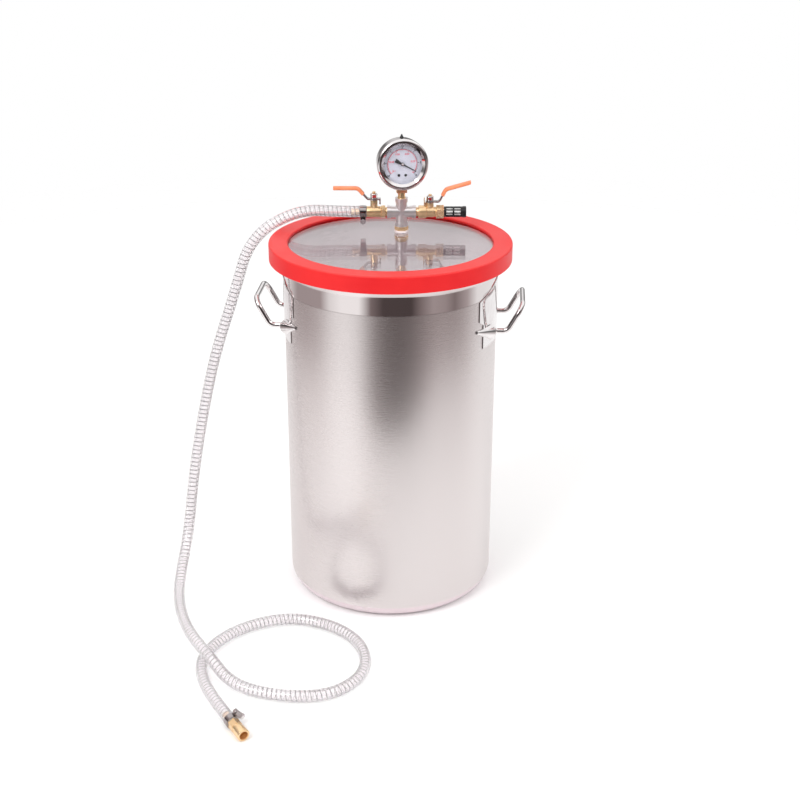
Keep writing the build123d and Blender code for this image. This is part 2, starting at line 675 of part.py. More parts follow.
def muffler_body():
    end = RIGHT_HEX_END + MUFFLER_LENGTH
    inner = MUFFLER_RADIUS - MUFFLER_WALL
    body = rod(MUFFLER_RADIUS, RIGHT_HEX_END, end) + rod(MUFFLER_CAP_RADIUS, end - MUFFLER_CAP_LENGTH, end)
    body = chamfer(body.edges().group_by(Axis.Z)[-1], MUFFLER_WALL / 2)
    body += rod(PIPE_THREAD_RADIUS, RIGHT_HEX_END - THREAD_ENGAGEMENT, RIGHT_HEX_END)
    body -= rod(PORT_RADIUS, RIGHT_HEX_END - THREAD_ENGAGEMENT, RIGHT_HEX_END + MUFFLER_WALL)
    body -= rod(inner, RIGHT_HEX_END + MUFFLER_WALL, end - MUFFLER_CAP_LENGTH)
    slot = Pos(MUFFLER_RADIUS, 0) * block(MUFFLER_RADIUS, MUFFLER_SLOT_HEIGHT, 0, MUFFLER_SLOT_LENGTH)
    for column in range(MUFFLER_COLUMNS):
        base = RIGHT_HEX_END + MUFFLER_FIRST_SLOT + column * MUFFLER_SLOT_PITCH
        for row in range(MUFFLER_ROWS):
            body -= Rot(0, 0, row * 360 / MUFFLER_ROWS) * Pos(0, 0, base) * slot
    return ALONG_X * body


def muffler_element():
    radius = MUFFLER_RADIUS - MUFFLER_WALL - MUFFLER_ELEMENT_GAP
    low = RIGHT_HEX_END + MUFFLER_WALL
    high = RIGHT_HEX_END + MUFFLER_LENGTH - MUFFLER_CAP_LENGTH
    return ALONG_X * tube(radius, MUFFLER_ELEMENT_BORE, low, high)


# Gauge, in a frame whose +Z is the gauge's front, +Y is up and whose origin is the dial's middle

def gauge_case():
    cup = rod(CASE_RADIUS, CASE_BACK, CASE_FRONT)
    cup = fillet(cup.edges().group_by(Axis.Z)[0], CASE_BACK_ROUND)
    room = rod(CASE_RADIUS - CASE_WALL, CASE_BACK + CASE_WALL, CASE_FRONT)
    cup -= fillet(room.edges().group_by(Axis.Z)[0], CASE_BACK_ROUND - CASE_WALL)
    margin = 2 * SOCKET_CLEARANCE
    cup -= Pos(0, -CASE_RADIUS, 0) * Box(SOCKET_FLATS + margin, CASE_RADIUS, SOCKET_DEPTH + margin)
    return cup - Pos(0, CASE_RADIUS, 0) * Rot(90, 0, 0) * Cylinder(PLUG_SHANK_RADIUS, 4 * CASE_WALL)


def gauge_bezel():
    skirt = CASE_RADIUS + BEZEL_CLEARANCE
    edge = skirt + BEZEL_WALL
    opening = CASE_RADIUS - BEZEL_LIP_REACH
    lip = CASE_FRONT + WINDOW_THICKNESS
    section = rectangle((opening, BEZEL_BACK), (edge, BEZEL_FRONT))
    section = rounded_corner(section, (edge, BEZEL_FRONT), BEZEL_ROUND)
    slope = Polyline((opening, lip), (opening, BEZEL_FRONT), (opening + BEZEL_SLOPE, BEZEL_FRONT), close=True)
    section -= make_face(slope)
    section -= rectangle((0, BEZEL_BACK), (skirt, lip))
    return revolve(Plane.XZ * section, Axis.Z)


def gauge_window():
    return rod(CASE_RADIUS, CASE_FRONT, CASE_FRONT + WINDOW_THICKNESS)


def gauge_dial():
    radius = CASE_RADIUS - CASE_WALL - DIAL_CLEARANCE
    dial = tube(radius, DIAL_HOLE, DIAL_BACK, DIAL_BACK + DIAL_THICKNESS)
    front = DIAL_BACK + DIAL_THICKNESS
    for side in (-1, 1):
        dial -= Pos(side * DIAL_SCREW_X, DIAL_SCREW_Y) * rod(PILLAR_RADIUS / 2, DIAL_BACK, front)
    return dial


def gauge_dial_screws():
    front = DIAL_BACK + DIAL_THICKNESS
    screw = rod(DIAL_SCREW_RADIUS, front, front + DIAL_SCREW_HEIGHT)
    screw += rod(PILLAR_RADIUS / 2, DIAL_BACK, front)
    return [Pos(side * DIAL_SCREW_X, DIAL_SCREW_Y) * screw for side in (-1, 1)]


def gauge_pointer():
    half = POINTER_HALF_WIDTH
    tip = POINTER_TIP_HALF_WIDTH
    tail = POINTER_TAIL_HALF_WIDTH
    upper = [(POINTER_LENGTH, tip), (0, half), (-POINTER_TAIL, tail)]
    lower = [(x, -y) for x, y in reversed(upper)]
    blade = Polyline(*upper, *lower, close=True)
    pointer = Pos(0, 0, POINTER_BACK) * extrude(make_face(blade), POINTER_THICKNESS)
    pointer += rod(POINTER_HUB_RADIUS, POINTER_BACK, POINTER_HUB_FRONT)
    shaft_base = movement_back() - SHAFT_CLEARANCE
    pointer += rod(SHAFT_RADIUS, shaft_base, POINTER_BACK)
    return Rot(0, 0, POINTER_REST) * pointer


def movement_back():
    return HOLDER_FRONT


def gear_base():
    return movement_back() + MOVEMENT_PLATE + GEAR_LIFT


def toothed(count, first, last, inner_radius):
    """A flat gear's face: teeth from one number to another, round the origin, tooth 0 on +X."""
    pitch_radius = GEAR_MODULE * count / 2
    tip = pitch_radius + ADDENDUM * GEAR_MODULE
    root = pitch_radius - DEDENDUM * GEAR_MODULE
    step = 360 / count
    points = []
    for tooth in range(first, last + 1):
        corners = ((root, -TOOTH_FOOT), (tip, -TOOTH_TIP), (tip, TOOTH_TIP), (root, TOOTH_FOOT))
        for radius, share in corners:
            angle = radians(step * (tooth + share))
            points.append((radius * cos(angle), radius * sin(angle)))
    if inner_radius:
        points.append((inner_radius * cos(radians(step * last)), inner_radius * sin(radians(step * last))))
        points.append((inner_radius * cos(radians(step * first)), inner_radius * sin(radians(step * first))))
    return make_face(Polyline(*points, close=True))


def gauge_pinion():
    face = toothed(PINION_TEETH, 0, PINION_TEETH - 1, 0) - Circle(SHAFT_RADIUS)
    return Rot(0, 0, -90) * Pos(0, 0, gear_base()) * extrude(face, GEAR_THICKNESS)


def sector_drop():
    """How far the sector's pivot lies below the pinion's."""
    return GEAR_MODULE * (PINION_TEETH + SECTOR_TEETH) / 2


def gauge_sector():
    face = toothed(SECTOR_TEETH, -SECTOR_LOW_TEETH, SECTOR_HIGH_TEETH, SECTOR_HUB_RADIUS / 2)
    face += Circle(SECTOR_HUB_RADIUS)
    half_tooth = 180 / SECTOR_TEETH
    plate = Rot(0, 0, 90 + half_tooth) * Pos(0, 0, gear_base()) * extrude(face, GEAR_THICKNESS)
    back = movement_back() - SHAFT_CLEARANCE
    front = movement_back() + 2 * MOVEMENT_PLATE + MOVEMENT_SPACING - SHAFT_CLEARANCE
    return Pos(0, -sector_drop()) * (plate + rod(SHAFT_RADIUS, back, front))


def gauge_movement():
    """Two plates on pillars that carry the pinion's and the sector's shafts, and posts for the dial."""
    back = movement_back()
    front = back + MOVEMENT_PLATE + MOVEMENT_SPACING
    height = MOVEMENT_TOP - MOVEMENT_BOTTOM
    middle = (MOVEMENT_TOP + MOVEMENT_BOTTOM) / 2
    plate = Pos(0, middle) * block(2 * MOVEMENT_HALF_WIDTH, height, 0, MOVEMENT_PLATE)
    frame = Pos(0, 0, back) * plate + Pos(0, 0, front) * plate
    across = MOVEMENT_HALF_WIDTH - PILLAR_INSET
    for x in (-across, across):
        for y in (MOVEMENT_TOP - PILLAR_INSET, MOVEMENT_BOTTOM + PILLAR_INSET):
            frame += Pos(x, y) * rod(PILLAR_RADIUS, back, front)
    for side in (-1, 1):
        frame += Pos(side * DIAL_SCREW_X, DIAL_SCREW_Y) * rod(PILLAR_RADIUS, front, DIAL_BACK)
    for y in (0, -sector_drop()):
        frame -= Pos(0, y) * rod(SHAFT_RADIUS + SHAFT_CLEARANCE, back, front + MOVEMENT_PLATE)
    return frame


def holder_base():
    """The level inside the case's wall where the holder's corners just clear it."""
    return SOCKET_CLEARANCE - sqrt((CASE_RADIUS - CASE_WALL) ** 2 - (HOLDER_WIDTH / 2) ** 2)


def gauge_socket():
    """The threaded stem, its square and the block inside the case that holds the tube and the movement."""
    cross_top = CROSS_REACH - GAUGE_HEIGHT
    square_top = holder_base()
    holder_top = -BOURDON_RADIUS - BOURDON_THICKNESS / 2 - BOURDON_SEAT_GAP
    lengthways = Rot(-90, 0, 0)
    stem = lengthways * rod(PIPE_THREAD_RADIUS, cross_top - THREAD_ENGAGEMENT, cross_top)
    stem += lengthways * rod(SOCKET_NECK_RADIUS, cross_top, SOCKET_SQUARE_BASE)
    stem += lengthways * block(SOCKET_FLATS, SOCKET_DEPTH, SOCKET_SQUARE_BASE, square_top)
    stem -= lengthways * rod(SHAFT_RADIUS * 2, cross_top - THREAD_ENGAGEMENT, square_top)
    depth = HOLDER_FRONT - HOLDER_BACK
    height = holder_top - square_top
    holder = Pos(0, square_top + height / 2, HOLDER_BACK + depth / 2) * Box(HOLDER_WIDTH, height, depth)
    tongue_height = HOLDER_TONGUE_TOP - square_top
    tongue = Pos(0, square_top + tongue_height / 2, HOLDER_FRONT - HOLDER_TONGUE / 2)
    tongue = tongue * Box(HOLDER_WIDTH, tongue_height, HOLDER_TONGUE)
    return stem + holder + tongue


def gauge_bourdon_tube():
    low = BOURDON_RADIUS - BOURDON_THICKNESS / 2
    section = rectangle((low, BOURDON_FRONT - BOURDON_WIDTH), (low + BOURDON_THICKNESS, BOURDON_FRONT))
    return Rot(0, 0, BOURDON_START) * revolve(Plane.XZ * section, Axis.Z, BOURDON_SWEEP)


def gauge_fill_plug():
    shank = rod(PLUG_SHANK_RADIUS, -PLUG_SHANK_LENGTH, 0)
    flange = (PLUG_RADIUS, 0)
    shoulder = (PLUG_RADIUS, PLUG_BRIM)
    plug = shank + turned((0, 0), flange, shoulder, (PLUG_TIP_RADIUS, PLUG_HEIGHT), (0, PLUG_HEIGHT))
    return Pos(0, CASE_RADIUS, 0) * Rot(-90, 0, 0) * plug


# Hose, clamps and end fitting

def corner_radius(before, corner, after):
    """The largest arc that a corner's two runs allow, with a margin."""
    first = Vector(*corner) - Vector(*before)
    second = Vector(*after) - Vector(*corner)
    turn = radians(first.get_angle(second))
    return 0.45 * min(first.length, second.length) / tan(turn / 2)


def hose_path():
    corners = zip(HOSE_ROUTE, HOSE_ROUTE[1:], HOSE_ROUTE[2:])
    radii = [corner_radius(*three) for three in corners]
    print("hose bend radii", [round(radius) for radius in radii])
    return FilletPolyline(*HOSE_ROUTE, radius=radii)


def hose():
    path = hose_path()
    section = Circle(HOSE_RADIUS) - Circle(HOSE_BORE_RADIUS)
    wall = sweep(Plane(origin=path @ 0, z_dir=path % 0) * section, path)
    share = wall.volume / (section.area * path.length)
    print("hose length", round(path.length, 1), "volume over section times length", round(share, 4))
    return wall


def clamp_band():
    """A clamp's band round +Z, from zero up."""
    bore = HOSE_RADIUS + CLAMP_CLEARANCE
    return tube(bore + CLAMP_THICKNESS, bore, 0, CLAMP_WIDTH)


def clamp_housing_axis():
    return HOSE_RADIUS + CLAMP_CLEARANCE + CLAMP_THICKNESS + CLAMP_HOUSING_HEIGHT / 2


def clamp_with_housing():
    reach = clamp_housing_axis()
    housing = Box(CLAMP_HOUSING_HEIGHT, CLAMP_HOUSING_LENGTH, CLAMP_HOUSING_WIDTH)
    housing = Pos(reach, 0, CLAMP_WIDTH / 2) * housing
    housing = fillet(housing.edges().filter_by(Axis.Y), CLAMP_HOUSING_HEIGHT / 4)
    saddle = rod(HOSE_RADIUS + CLAMP_CLEARANCE + CLAMP_THICKNESS, 0, CLAMP_WIDTH)
    web = Pos(reach - CLAMP_HOUSING_HEIGHT / 2, 0, CLAMP_WIDTH / 2)
    web = web * Box(2 * CLAMP_THICKNESS, CLAMP_HOUSING_LENGTH / 2, CLAMP_HOUSING_WIDTH)
    housing = housing + web - saddle
    bore = Pos(reach, 0, CLAMP_WIDTH / 2) * Rot(90, 0, 0)
    housing -= bore * Cylinder(CLAMP_SCREW_RADIUS + CLAMP_SCREW_CLEARANCE, 2 * CLAMP_HOUSING_LENGTH)
    return clamp_band() + housing


def clamp_screw():
    front = CLAMP_HOUSING_LENGTH / 2 + CLAMP_SCREW_CLEARANCE
    screw = rod(CLAMP_SCREW_RADIUS, front - CLAMP_SCREW_LENGTH, front)
    head = hexagon(2 * CLAMP_SCREW_HEAD_RADIUS, front, front + CLAMP_SCREW_HEAD_LENGTH)
    head_end = front + CLAMP_SCREW_HEAD_LENGTH
    slot_floor = head_end - CLAMP_SCREW_SLOT_DEPTH
    head -= block(2 * CLAMP_SCREW_HEAD_RADIUS, CLAMP_THICKNESS, slot_floor, head_end)
    return Pos(clamp_housing_axis(), 0, CLAMP_WIDTH / 2) * Rot(90, 0, 0) * (screw + head)


def top_clamp_place():
    """On the hose beside the valve's shoulder, with the screw's housing hanging below."""
    return Pos(HOSE_START[0] - CLAMP_INSET - CLAMP_WIDTH, STAND_Y, CROSS_Z) * Rot(0, 90, 0)


def hose_end_place():
    """The frame at the hose's end: +Z points out of the hose, along its last run."""
    end = Vector(*HOSE_ROUTE[-1])
    along = end - Vector(*HOSE_ROUTE[-2])
    return Plane(origin=end, x_dir=(0, 0, 1), z_dir=along).location


def end_clamp_place():
    return hose_end_place() * Pos(0, 0, -CLAMP_INSET - CLAMP_WIDTH) * Rot(0, 0, END_CLAMP_TURN)


def hose_end_fitting():
    neck_base = END_HEX_LENGTH
    collar_base = neck_base + END_NECK_LENGTH
    mouth = collar_base + END_COLLAR_LENGTH
    collar = rod(END_COLLAR_RADIUS, collar_base, mouth)
    collar = chamfer(collar.edges().filter_by(GeomType.CIRCLE), END_MOUTH_BEVEL)
    fitting = hexagon(END_HEX_FLATS, 0, neck_base) + rod(END_NECK_RADIUS, neck_base, collar_base) + collar
    fitting -= rod(END_HOLE_RADIUS, mouth - END_HOLE_DEPTH, mouth)
    fitting -= rod(PORT_RADIUS, 0, mouth)
    fitting += Rot(180, 0, 0) * hose_barb()
    return hose_end_place() * fitting


def lever_set(name, place, neck_top, stem_top, bend_1, bend_2, tip, sleeve_start, tab_drop):
    """Every piece of a valve that is alike on both valves, by node name."""
    points = lever_path(neck_top, bend_1, bend_2, tip)
    pieces = {
        "ball": valve_ball(),
        "stem": valve_stem(neck_top, stem_top),
        "seat_inner": valve_seat(-1),
        "seat_outer": valve_seat(1),
        "packing": valve_packing(neck_top),
        "gland_nut": valve_gland(neck_top),
        "lever_plate": lever_plate(neck_top, points, tab_drop),
        "lever_sleeve": lever_sleeve(points, sleeve_start),
        "lever_nut": lever_nut(neck_top),
    }
    return {f"{name}_{piece}": place * shape for piece, shape in pieces.items()}


def build():
    nodes = {
        "pot_shell": pot_shell(),
        "handle_rod_left": handle_rod(-1),
        "handle_rod_right": handle_rod(1),
        "handle_plate_left": handle_plate(-1),
        "handle_plate_right": handle_plate(1),
        "gasket_ring": gasket_ring(),
        "lid": lid(),
        "bulkhead_fitting": bulkhead_fitting(),
        "bulkhead_washer_top": bulkhead_washer(LID_TOP),
        "bulkhead_washer_bottom": bulkhead_washer(LID_BOTTOM - WASHER_THICKNESS),
        "bulkhead_locknut": bulkhead_locknut(),
        "pipe_cross": pipe_cross(),
        "left_valve_body": LEFT_VALVE * left_valve_body(),
        "left_valve_end": LEFT_VALVE * left_valve_end(),
        "right_valve_body": RIGHT_VALVE * right_valve_body(),
        "right_valve_end": RIGHT_VALVE * right_valve_end(),
        "muffler_body": RIGHT_VALVE * muffler_body(),
        "muffler_element": RIGHT_VALVE * muffler_element(),
        "gauge_case": GAUGE * gauge_case(),
        "gauge_bezel": GAUGE * gauge_bezel(),
        "gauge_window": GAUGE * gauge_window(),
        "gauge_dial": GAUGE * gauge_dial(),
        "gauge_dial_screws": Compound(children=[GAUGE * screw for screw in gauge_dial_screws()]),
        "gauge_pointer": GAUGE * gauge_pointer(),
        "gauge_pinion": GAUGE * gauge_pinion(),
        "gauge_sector": GAUGE * gauge_sector(),
        "gauge_movement": GAUGE * gauge_movement(),
        "gauge_socket": GAUGE * gauge_socket(),
        "gauge_bourdon_tube": GAUGE * gauge_bourdon_tube(),
        "gauge_fill_plug": GAUGE * gauge_fill_plug(),
        "hose": hose(),
        "top_clamp": top_clamp_place() * clamp_with_housing(),
        "top_clamp_screw": top_clamp_place() * clamp_screw(),
        "end_clamp": end_clamp_place() * clamp_with_housing(),
        "end_clamp_screw": end_clamp_place() * clamp_screw(),
        "hose_end_fitting": hose_end_fitting(),
    }
    nodes.update(lever_set("left_valve", LEFT_VALVE, LEFT_NECK_TOP, LEFT_STEM_TOP, LEFT_LEVER_BEND_1,
                           LEFT_LEVER_BEND_2, LEFT_LEVER_TIP, LEFT_SLEEVE_START, LEVER_TAB_DROP))
    nodes.update(lever_set("right_valve", RIGHT_VALVE, RIGHT_NECK_TOP, RIGHT_STEM_TOP, RIGHT_LEVER_BEND_1,
                           RIGHT_LEVER_BEND_2, RIGHT_LEVER_TIP, RIGHT_SLEEVE_START, 0))
    return nodes


os.makedirs("parts", exist_ok=True)
for node, shape in build().items():
    export_step(shape, f"parts/{node}.step")
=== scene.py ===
"""Dresses the vacuum chamber's frame: materials, the wire-reinforced hose, the dial's print and
the studio. Metres, in the CAD frame: +Z up, -Y the front."""
import bpy
import json
from math import cos, pi, radians, sin
from mathutils import Matrix, Vector

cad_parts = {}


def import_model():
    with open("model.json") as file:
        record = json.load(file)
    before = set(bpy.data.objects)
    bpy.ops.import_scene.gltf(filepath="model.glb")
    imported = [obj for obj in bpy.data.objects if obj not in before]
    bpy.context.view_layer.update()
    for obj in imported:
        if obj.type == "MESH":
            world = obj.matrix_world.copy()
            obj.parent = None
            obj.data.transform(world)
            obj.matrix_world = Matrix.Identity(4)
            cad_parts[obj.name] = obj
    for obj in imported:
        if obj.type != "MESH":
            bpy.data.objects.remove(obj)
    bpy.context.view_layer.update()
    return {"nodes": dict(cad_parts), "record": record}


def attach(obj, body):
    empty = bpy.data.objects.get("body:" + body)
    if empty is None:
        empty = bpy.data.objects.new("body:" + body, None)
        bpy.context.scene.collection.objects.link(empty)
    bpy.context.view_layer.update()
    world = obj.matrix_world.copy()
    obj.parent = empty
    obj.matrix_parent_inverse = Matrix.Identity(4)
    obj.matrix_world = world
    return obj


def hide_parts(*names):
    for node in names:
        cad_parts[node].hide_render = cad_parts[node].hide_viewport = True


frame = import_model()
NODES = frame["nodes"]
MM = 0.001


# ---------------------------------------------------------------- node helpers

class Tree:
    """A node tree with short calls for the nodes that the materials and the world share."""

    def __init__(self, node_tree):
        self.nodes = node_tree.nodes
        self.links = node_tree.links

    def feed(self, socket, value):
        """Links an output to the socket, or gives the socket a plain value."""
        if isinstance(value, bpy.types.NodeSocket):
            self.links.new(value, socket)
        else:
            socket.default_value = value

    def node(self, kind, **inputs):
        node = self.nodes.new(kind)
        for name, value in inputs.items():
            self.feed(node.inputs[name], value)
        return node

    def coordinates(self, kind="Object"):
        return self.nodes.new("ShaderNodeTexCoord").outputs[kind]

    def axes(self, kind="Object"):
        """The coordinates' X, Y and Z."""
        return self.node("ShaderNodeSeparateXYZ", Vector=self.coordinates(kind)).outputs

    def place(self, scale=(1, 1, 1)):
        """The object's own coordinates in metres, stretched."""
        mapping = self.node("ShaderNodeMapping", Vector=self.coordinates(), Scale=scale)
        return mapping.outputs["Vector"]

    def noise(self, scale, detail=3.0, stretch=(1, 1, 1), roughness=0.5):
        node = self.node("ShaderNodeTexNoise", Vector=self.place(stretch), Scale=scale,
                         Detail=detail, Roughness=roughness)
        return node.outputs["Fac"]

    def ramp(self, fac, stops):
        """stops are (position, grey or colour)."""
        node = self.node("ShaderNodeValToRGB", Fac=fac)
        elements = node.color_ramp.elements
        while len(elements) < len(stops):
            elements.new(0.5)
        for element, (position, value) in zip(elements, stops):
            element.position = position
            color = value if isinstance(value, tuple) else (value, value, value)
            element.color = (*color, 1.0)
        return node.outputs["Color"]

    def math(self, operation, *values):
        node = self.nodes.new("ShaderNodeMath")
        node.operation = operation
        for socket, value in zip(node.inputs, values):
            self.feed(socket, value)
        return node.outputs[0]

    def length(self, vector):
        node = self.nodes.new("ShaderNodeVectorMath")
        node.operation = "LENGTH"
        self.feed(node.inputs[0], vector)
        return node.outputs["Value"]

    def mix(self, fac, a, b, blend="MIX"):
        """From colour a to colour b."""
        node = self.nodes.new("ShaderNodeMix")
        node.data_type = "RGBA"
        node.blend_type = blend
        for key, value in ((0, fac), (6, a), (7, b)):
            self.feed(node.inputs[key], (*value, 1.0) if isinstance(value, tuple) else value)
        return node.outputs[2]

    def mix_number(self, fac, a, b):
        node = self.nodes.new("ShaderNodeMix")
        for key, value in ((0, fac), (2, a), (3, b)):
            self.feed(node.inputs[key], value)
        return node.outputs[0]

    def mix_shader(self, fac, a, b):
        node = self.nodes.new("ShaderNodeMixShader")
        for socket, value in zip(node.inputs, (fac, a, b)):
            self.feed(socket, value)
        return node.outputs[0]

    def span(self, value, low, high, start=0.0, end=1.0, smooth=False):
        """Maps low..high to start..end and holds both ends."""
        node = self.nodes.new("ShaderNodeMapRange")
        node.interpolation_type = "SMOOTHSTEP" if smooth else "LINEAR"
        self.feed(node.inputs["Value"], value)
        for name, number in (("From Min", low), ("From Max", high), ("To Min", start), ("To Max", end)):
            node.inputs[name].default_value = number
        return node.outputs["Result"]


class Shader(Tree):
    """A material's node tree round its Principled BSDF."""

    def __init__(self, name, color, **sockets):
        self.material = bpy.data.materials.new(name)
        self.material.use_nodes = True
        super().__init__(self.material.node_tree)
        self.bsdf = self.nodes["Principled BSDF"]
        self.to("Base Color", (*color, 1.0))
        for socket, value in sockets.items():
            self.to(socket.replace("_", " "), value)

    def to(self, socket, value):
        self.feed(self.bsdf.inputs[socket], value)

    def bump(self, height, distance):
        node = self.node("ShaderNodeBump", Height=height, Distance=distance, Strength=1.0)
        self.to("Normal", node.outputs["Normal"])


# ---------------------------------------------------------------- materials

# The pot's wall: the radii that tell its outside from its inside, and the levels up its side
WALL_INSIDE, WALL_OUTSIDE = 0.1491, 0.1496
POLISH_LEVEL = 0.4600
POLISH_LINE = 0.0012
FLARE_LOW, FLARE_HIGH = 0.4840, 0.4985
FLARE_DEPTH = 0.0026
WAVE_DEPTH = 0.00022
GRAIN_DEPTH = 0.000002
POLISH_ROUGHNESS = 0.045
# The inside is less metallic so that its paler tone, which is painted light, shows under the soft light
INSIDE_METALLIC = 0.35
# The levels between which the gasket turns paler: a painted sheen, the ceiling's reflection painted on
# its upper face
RING_SHEEN_LOW, RING_SHEEN_HIGH = 0.5185, 0.5209


def pot_steel():
    """Mirror-polished under the rim, satin below, with a fine line between the two."""
    satin_dark, satin_light = (0.71, 0.655, 0.65), (0.75, 0.705, 0.70)
    # the inside's pale pinkish tone is painted light: a brighter copy of the steel that stands in for
    # the light reflected round inside the pot
    line_tone, inside_painted_light = (0.35, 0.31, 0.30), (0.75, 0.645, 0.675)
    s = Shader("pot_steel", (0.80, 0.755, 0.75), Anisotropic=0.75)
    z = s.axes()["Z"]
    outside = s.span(s.length(s.place((1, 1, 0))), WALL_INSIDE, WALL_OUTSIDE)
    above = s.span(z, POLISH_LEVEL, POLISH_LEVEL + POLISH_LINE, smooth=True)
    polish = s.math("MULTIPLY", above, outside)
    grain = s.noise(260.0, detail=4.0, stretch=(0.25, 0.25, 14.0), roughness=0.6)
    cloud = s.noise(5.0, detail=2.0, stretch=(1, 1, 0.35))
    satin = s.math("ADD", s.span(grain, 0.2, 0.8, 0.25, 0.29),
                   s.span(cloud, 0.3, 0.7, -0.01, 0.03))
    s.to("Roughness", s.mix_number(polish, satin, POLISH_ROUGHNESS))
    line = s.math("MULTIPLY", s.span(z, POLISH_LEVEL - POLISH_LINE, POLISH_LEVEL),
                  s.span(z, POLISH_LEVEL, POLISH_LEVEL + POLISH_LINE, 1.0, 0.0))
    tone = s.mix(s.span(cloud, 0.35, 0.7), satin_dark, satin_light)
    tone = s.mix(s.math("MULTIPLY", line, 0.45), tone, line_tone)
    s.to("Base Color", s.mix(outside, inside_painted_light, tone))
    s.to("Metallic", s.span(outside, 0, 1, INSIDE_METALLIC, 1.0))
    # the band's flare under the rim, the sheet's slow waves and the satin's grain
    lift = s.math("MULTIPLY", s.span(z, FLARE_LOW, FLARE_HIGH, smooth=True), FLARE_DEPTH)
    waves = s.math("MULTIPLY", s.noise(7.0, detail=1.0, stretch=(1, 1, 0.4)), WAVE_DEPTH)
    fine = s.math("MULTIPLY", grain, s.span(polish, 0, 1, GRAIN_DEPTH, 0.0))
    s.bump(s.math("ADD", s.math("ADD", lift, waves), fine), 1.0)
    tangent = s.nodes.new("ShaderNodeTangent")
    tangent.direction_type = "RADIAL"
    tangent.axis = "Z"
    s.to("Tangent", tangent.outputs["Tangent"])
    return s.material


def metal(name, light, dark, rough, bump=0.00002, scale=900.0, blotch=60.0, metallic=1.0):
    """A worked metal: tone and gloss vary in soft blotches, with a fine surface bump."""
    s = Shader(name, light, Metallic=metallic)
    cloud = s.noise(blotch)
    grain = s.noise(scale, detail=2.0)
    s.to("Base Color", s.mix(s.span(cloud, 0.35, 0.7), dark, light))
    s.to("Roughness", s.math("ADD", s.span(grain, 0.3, 0.7, rough * 0.95, rough * 1.06),
                             s.span(cloud, 0.3, 0.7, 0.02, -0.01)))
    if bump:
        s.bump(s.math("ADD", grain, s.math("MULTIPLY", cloud, 2.0)), bump)
    return s.material


def silicone():
    """The gasket's red, with a painted sheen: paler along its upper face, where the ceiling's
    reflection is painted in.
    """
    s = Shader("red_silicone", (0.82, 0.012, 0.014), Specular_IOR_Level=0.32,
               Subsurface_Weight=0.08, Subsurface_Radius=(0.012, 0.002, 0.0015),
               Subsurface_Scale=0.3)
    cloud = s.noise(14.0)
    tone = s.mix(s.span(cloud, 0.3, 0.7), (0.68, 0.006, 0.010), (0.77, 0.012, 0.013))
    # painted sheen: the upper face is mixed towards a paler red that stands in for the ceiling's
    # reflection
    painted_sheen = s.span(s.axes()["Z"], RING_SHEEN_LOW, RING_SHEEN_HIGH, smooth=True)
    s.to("Base Color", s.mix(s.math("MULTIPLY", painted_sheen, 0.6), tone, (0.84, 0.055, 0.050)))
    s.to("Roughness", s.span(cloud, 0.3, 0.7, 0.36, 0.5))
    s.bump(s.math("ADD", s.noise(420.0), s.math("MULTIPLY", cloud, 6.0)), 0.00003)
    return s.material


def clear(name, color, ior, rough=0.0, bump=0.0, through=1.0):
    """Clear acrylic, glass or vinyl, with a faint haze."""
    s = Shader(name, color, IOR=ior, Transmission_Weight=through)
    haze = s.noise(35.0)
    s.to("Roughness", s.span(haze, 0.3, 0.8, rough, rough + 0.012))
    if bump:
        s.bump(haze, bump)
    return s.material


def plastic(name, light, dark, rough, bump=0.00001, scale=1500.0):
    """Plastic, rubber, enamel or ink: tone in soft blotches, gloss by a fine grain."""
    s = Shader(name, light)
    cloud = s.noise(90.0)
    grain = s.noise(scale, detail=2.0)
    s.to("Base Color", s.mix(s.span(cloud, 0.3, 0.7), dark, light))
    s.to("Roughness", s.span(grain, 0.3, 0.7, rough * 0.85, rough * 1.15))
    s.bump(grain, bump)
    return s.material


STEEL_BRIGHT = metal("polished_steel", (0.86, 0.83, 0.83), (0.78, 0.74, 0.74), 0.07, 0.000004)
STEEL_CAST = metal("cast_steel", (0.80, 0.755, 0.76), (0.79, 0.745, 0.75), 0.31, bump=0.0,
                   scale=420.0, blotch=10.0, metallic=0.85)
STEEL_LEVER = metal("lever_steel", (0.62, 0.58, 0.57), (0.42, 0.39, 0.38), 0.20)
STEEL_DARK = metal("dark_steel", (0.12, 0.115, 0.12), (0.07, 0.068, 0.07), 0.25, 0.00001)
STEEL_NUT = metal("nut_steel", (0.78, 0.74, 0.74), (0.62, 0.58, 0.58), 0.10, 0.00001)
STEEL_BAND = metal("band_steel", (0.46, 0.42, 0.42), (0.34, 0.30, 0.30), 0.16, 0.000004)
BRASS = metal("brass", (0.96, 0.70, 0.42), (0.88, 0.60, 0.33), 0.24, 0.000012, metallic=0.8)
BRASS_CAST = metal("cast_brass", (0.95, 0.69, 0.42), (0.88, 0.61, 0.35), 0.28, bump=0.0,
                   scale=460.0, blotch=50.0, metallic=0.75)
WIRE = metal("helix_wire", (0.26, 0.24, 0.26), (0.16, 0.15, 0.16), 0.25, bump=0.0)
RUBBER_BLACK = plastic("black_rubber", (0.02, 0.02, 0.021), (0.012, 0.012, 0.013), 0.55)
BLACK_PLASTIC = plastic("black_plastic", (0.022, 0.021, 0.024), (0.012, 0.012, 0.014), 0.34)
POROUS = plastic("porous_white", (0.97, 0.97, 0.96), (0.86, 0.86, 0.85), 0.8, 0.00015, 900.0)
SEAT_WHITE = plastic("white_seat", (0.9, 0.9, 0.88), (0.82, 0.82, 0.8), 0.4)
WASHER = plastic("pale_washer", (0.92, 0.84, 0.84), (0.84, 0.70, 0.70), 0.40)
ORANGE = plastic("orange_vinyl", (0.94, 0.31, 0.145), (0.86, 0.25, 0.11), 0.40, 0.00002, 700.0)
DIAL = plastic("dial_enamel", (0.63, 0.63, 0.70), (0.58, 0.58, 0.65), 0.45, 0.000003)
